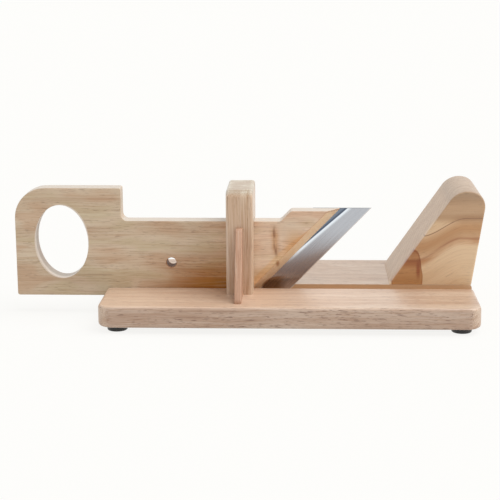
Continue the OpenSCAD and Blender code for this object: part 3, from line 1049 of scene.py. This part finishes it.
def plank_tones(place, wavy, colour):
    """Grey and mottled towards the handle, orange by the post, partly painted light and shade, three
    patches on the nose.
    """
    x = parts_of(place)["X"]
    # warmer and then greyer towards the handle: partly the wood's tone, partly painted light and shade
    left_share = stretch(x, 6, -20)
    colour = stain(left_share, 1.0, colour, (255, 250, 239))
    grey_share = stretch(x, -5, -60)
    colour = stain(grey_share, 1.0, colour, (229, 234, 238))
    mottle = streaks(wavy, 48, 15, 1.5)
    colour = stain(between(mottle, 0.5, 0.64), 0.6, colour, (243, 224, 212))
    colour = stain(between(mottle, 0.48, 0.36), 0.5, colour, (240, 244, 228))
    streaky = between(streaks(wavy, 70, 2.2), 0.35, 0.6, 0.7, 1.0)
    # painted shade low down beside the post, partly also the wood's deep orange
    shade = both(shade_by_post(place), left_share, streaky)
    colour = stain(shade, 1.0, colour, (204, 151, 78))
    low = mark(place, x=14, z=26, wide=40, high=26, solid=0.2)
    colour = stain(low, 0.6, colour, (250, 222, 190))
    patch = mark(place, x=38, z=82, wide=18, high=16, solid=0.3)
    colour = cover(patch, 0.5, colour, (216, 200, 176))
    ochre = mark(place, x=44, z=66, wide=16, high=22, solid=0.2)
    return stain(ochre, 0.7, colour, (246, 218, 170))


def sawn_end(place, wavy, colour):
    """The fresh end painted paler as light, a warm fan that widens downwards, painted shade on the arris
    and at the foot.
    """
    x, _, z = parts_of(place)
    behind = across_blade(place)
    # the fresh end grain, painted paler still as light to make up for the shade it stands in; weaker low
    # down
    end_band = both(
        stretch(behind, 0.1, -0.7, of=nose_front),
        stretch(behind, 20, 21),
        stretch(z, -1, -2.5, of=nose_top),
        stretch(z, 34, 62, 0.35, 1.0),
    )
    speckled = between(streaks(wavy, 12, 1.5), 0.4, 0.6)
    colour = cover(end_band, 0.9, colour, blend(speckled, (255, 234, 200), (250, 220, 180)))
    spread = between(z, nose_top - 4 * mm, 58 * mm, -2 * mm, 5 * mm)
    past_fan = maths("SUBTRACT", behind, maths("ADD", spread, nose_front))
    fan = both(stretch(past_fan, 1.5, -1), stretch(behind, -0.4, 0.2, of=nose_front))
    colour = stain(fan, 0.65, colour, (250, 230, 196))
    # painted shade over the arris, which tones down the highlight it catches
    arris = both(stretch(behind, -1.4, -0.7, of=nose_front), stretch(behind, 1, 0.2, of=nose_front))
    colour = stain(arris, 0.2, colour, (238, 226, 212))
    # the painted shadow at the nose's foot
    painted_foot_shadow = both(nose_foot_shadow(place), stretch(x, 38, 34))
    return stain(painted_foot_shadow, 0.9, colour, (146, 98, 54))


def tops_and_holes(place, colour):
    """A painted pale sheen on faces that look up, painted shade in the pin hole, painted light and shade in
    the finger hole.
    """
    facing_ways = place.id_data.nodes.new("ShaderNodeNewGeometry").outputs["Normal"]
    upward = parts_of(facing_ways)["Z"]
    # painted sheen: faces that look up are turned paler and greyer
    colour = blend(between(upward, 0.4, 0.9, 0.0, 0.8), colour, (203, 192, 179))
    # painted shade on the pin hole's wall
    colour = cover(pin_hole_wall(place), 0.9, colour, (160, 104, 60))
    # the finger hole's wall: painted light at the front, painted shade towards the rear
    reach = (finger_wide / 2 + mm, through_it, finger_high / 2 + mm)
    inside_hole = spot(place, tuple(finger_place), reach, 0.985)
    inwards = stretch(parts_of(place)["Y"], 0, 8, of=finger_place.y)
    hole_wall = blend(inwards, (230, 217, 205), (162, 147, 133))
    return cover(inside_hole, 0.7, colour, hole_wall)


def knot_streak(place, colour):
    """An upright brown streak with a soft halo, which wanders a little and ends in a small blob."""
    x, _, z = parts_of(place)
    drift = maths("SUBTRACT", streaks(place, 14, 14, 1.0), 0.5)
    line_x = stretch(z, 44, 86, 26 * mm, 23.5 * mm)
    line_x = maths("ADD", line_x, both(drift, 5 * mm))
    off_line = maths("ABSOLUTE", maths("SUBTRACT", x, line_x))
    blob = mark(place, x=26.5, z=49, wide=2.5, high=5, solid=0.2)
    colour = stain(blob, 0.8, colour, (176, 132, 84))
    ends = mark(place, x=25, z=71, wide=30, high=19, solid=0.3)
    halo = both(stretch(off_line, 6.5, 0.5), ends)
    colour = stain(halo, 0.7, colour, (220, 184, 138))
    torn = noise(add("ShaderNodeMapping", {"Vector": place, "Scale": (260, 60, 70)}), 1.0, 2.0)
    knot = both(stretch(off_line, 2.4, 0.3), ends, between(torn, 0.32, 0.54))
    return stain(knot, 0.9, colour, (150, 112, 70))


def plank_marks_and_painted_light(place, wavy, colour):
    """Everything that is drawn on the plank, from its broad tones to the knot."""
    colour = plank_tones(place, wavy, colour)
    colour = sawn_end(place, wavy, colour)
    colour = tops_and_holes(place, colour)
    return knot_streak(place, colour)


dress(plank, wood(
    "plank wood", (238, 216, 193), (226, 200, 174), pith=(70 * mm, 40 * mm), ring=12 * mm, rings=0.2,
    pores=0.4, lines=0.3, fibres=0.4, figure=plank_marks_and_painted_light, bare=pin_hole_wall, dull=shade_by_post,
))

# %% [markdown]
# ## Steel
# The blade's wide grind is brushed along its length, and its colour carries painted reflections of the pale
# room at the top and of the wood further down. The narrow flat beside the wood has kept its dark mill
# finish, and a painted highlight line runs between the two. Right at the foot the steel carries a painted
# reflection of the painted shadow at the nose's foot, so it takes that spot's shape and hue.

# %% Blade steel


def ground_side(z, behind, past_flat):
    """The grind: painted reflections, pale above and darker below, a painted highlight line and one on the
    stone bevel.
    """
    # painted reflections: the pale room above, the wood below
    ground = blend(stretch(z, 36, 84), (136, 128, 129), (190, 193, 199))
    ground = blend(stretch(z, 40, 26), ground, (178, 160, 148))
    # a painted highlight line where the grind meets the flat
    painted_highlight_line = both(stretch(past_flat, -4, -1), stretch(z, 44, 64))
    ground = blend(painted_highlight_line, ground, (240, 248, 255))
    # a painted highlight on the stone bevel along the edge
    return cover(stretch(behind, 0.9, 0.6), 0.7, ground, (236, 238, 242))


def blade_steel():
    """Steel with a dark flat, a grind with painted reflections and highlights, and a painted reflection at
    its foot.
    """
    steel, shader, place = start_material("blade steel")
    x, y, z = parts_of(place)
    behind = across_blade(place)
    wider = both(stretch(z, 46, 125), 7.1 * mm)
    past_flat = maths("SUBTRACT", behind, maths("SUBTRACT", 21.9 * mm, wider))
    front_side = stretch(y, 1.6, 1.0, of=blade_low.y)
    flat = both(stretch(past_flat, -0.4, 0.4), front_side)
    navy = blend(stretch(past_flat, 0.5, 3), (84, 94, 112), (126, 136, 150))
    colour = blend(flat, ground_side(z, behind, past_flat), navy)
    top_edge = stretch(z, -0.15, -0.05, of=nose_top)
    colour = blend(top_edge, colour, (28, 31, 38))
    # a painted reflection of the painted shadow at the nose's foot
    painted_reflection = both(nose_foot_shadow(place), stretch(x, 38, 25), front_side)
    colour = cover(painted_reflection, 0.85, colour, (122, 84, 46))
    along = add("ShaderNodeMapping", {"Vector": place, "Rotation": (0, math.pi / 2 - blade_slant, 0)})
    scratches = streaks(along, 60, 0.25, 3.0)
    colour = stain(between(scratches, 0.4, 0.65), 0.3, colour, (205, 206, 210))
    feed(
        shader, Base_Color=colour, Roughness=between(scratches, 0.3, 0.7, 0.16, 0.3),
        Normal=grainy(scratches, 0.15, 0.05 * mm),
        Metallic=stretch(z, 20, 40, 0.3, 1.0),
    )
    return steel


dress(blade, blade_steel())

# %% Screw steel


def screw_steel():
    """Zinc plate with soft clouds in its shine."""
    zinc, shader, place = start_material("screw steel")
    clouds = noise(place, 900.0, 3.0)
    feed(
        shader, Base_Color=blend(clouds, (196, 196, 192), (222, 222, 220)),
        Roughness=between(clouds, 0.3, 0.7, 0.24, 0.4), Metallic=1.0,
    )
    return zinc


zinc = screw_steel()
for node in ("blade_screws", "post_screws", "stop_block_screws", "foot_screws"):
    dress(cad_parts[node], zinc)

# %% [markdown]
# ## Rubber
# The feet are moulded in black rubber with a slight sheen. A fine speckle breaks up the highlights, and
# soft clouds of dust make the black uneven.

# %% Foot rubber


def foot_rubber():
    """Black rubber, a little dusty, with a fine speckle."""
    rubber, shader, place = start_material("foot rubber")
    dust = noise(place, 160.0, 2.0)
    feed(
        shader, Base_Color=blend(between(dust, 0.4, 0.65), (34, 32, 31), (58, 54, 52)),
        Roughness=between(dust, 0.3, 0.7, 0.22, 0.4),
        Normal=grainy(noise(place, 1500.0, 3.0), 0.2, 0.05 * mm),
    )
    return rubber


rubber = foot_rubber()
for piece in feet:
    dress(piece, rubber)

# %% [markdown]
# ## The studio
# The picture was taken on white, with soft light from above and a little from the right. The floor is seen
# almost white by the camera and by anything glossy, while the light that it throws back at the wood is that
# of plain pale paper. It keeps a faint shadow, which sets the feet on the ground. Seen from below, the
# paper is left out, so that the underside can be looked at as well.

# %% Floor
white_paper = (0.99, 0.985, 0.965, 1)
paper_dark, paper_light = (0.82, 0.815, 0.80, 1), (0.86, 0.855, 0.84, 1)
floor_size, seen_white = 60, 0.88

bpy.ops.object.select_all(action="DESELECT")
bpy.ops.mesh.primitive_plane_add(size=floor_size, location=(0, 0, 0))
floor = bpy.context.object
floor.name = "floor"


def seen_rays(tree):
    """The kinds of ray that come from the camera or from something glossy."""
    rays = tree.nodes.new("ShaderNodeLightPath").outputs
    return rays, maths("MAXIMUM", rays["Is Camera Ray"], rays["Is Glossy Ray"])


def floor_paper():
    """Pale paper that looks white and is left out from below."""
    paper, shader, place = start_material("floor paper")
    fleck = blend(noise(place, 400.0, 2.0), paper_dark, paper_light)
    feed(shader, Base_Color=fleck, Roughness=0.9, Specular_IOR_Level=0.1)
    tree = paper.node_tree
    rays, seen = seen_rays(tree)
    glow = add("ShaderNodeEmission", {"Color": white_paper, "Strength": 1.0}, tree)
    lit = add("ShaderNodeMixShader", {0: both(seen, seen_white), 1: shader.outputs[0], 2: glow})
    under = tree.nodes.new("ShaderNodeNewGeometry").outputs["Backfacing"]
    clear = add("ShaderNodeBsdfTransparent", tree=tree)
    sided = add("ShaderNodeMixShader", {0: both(under, rays["Is Camera Ray"]), 1: lit, 2: clear})
    output = shader.outputs[0].links[0].to_node
    tree.links.new(sided, output.inputs["Surface"])
    return paper


dress(floor, floor_paper())
floor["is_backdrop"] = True

# %% World and lamp
scene = bpy.context.scene
scene.view_settings.view_transform = "Standard"
room_light = 0.56


def studio_world():
    """A white room to look at, and a softer light from all round."""
    world = bpy.data.worlds.new("studio")
    world.use_nodes = True
    tree = world.node_tree
    tree.nodes.clear()
    rays, seen = seen_rays(tree)
    seen = maths("MAXIMUM", seen, rays["Is Transmission Ray"])
    soft = add("ShaderNodeBackground", {"Color": (1, 1, 1, 1), "Strength": room_light}, tree)
    white = add("ShaderNodeBackground", {"Color": white_paper, "Strength": 1.0}, tree)
    mixed = add("ShaderNodeMixShader", {0: seen, 1: soft, 2: white})
    add("ShaderNodeOutputWorld", {"Surface": mixed})
    return world


def sun(name, strength, direction, softness):
    """A far lamp that shines along a direction, as soft as its angle is wide, in degrees."""
    lamp = bpy.data.lights.new(name, "SUN")
    lamp.energy = strength
    lamp.angle = math.radians(softness)
    held = bpy.data.objects.new(name, lamp)
    scene.collection.objects.link(held)
    held.rotation_euler = Vector(direction).to_track_quat("-Z", "Y").to_euler()
    print(name, "shines along", direction)


scene.world = studio_world()
sun("key", strength=2.18, direction=(-0.55, 0.08, -1.0), softness=60)

# %% Measure the finished scene
bpy.context.view_layer.update()
seen_low, seen_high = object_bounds()
room_left = (*(seen_low - cad_low), *(cad_high - seen_high))
print("inside the frame's box by", [round(length / mm, 3) for length in room_left], "mm")
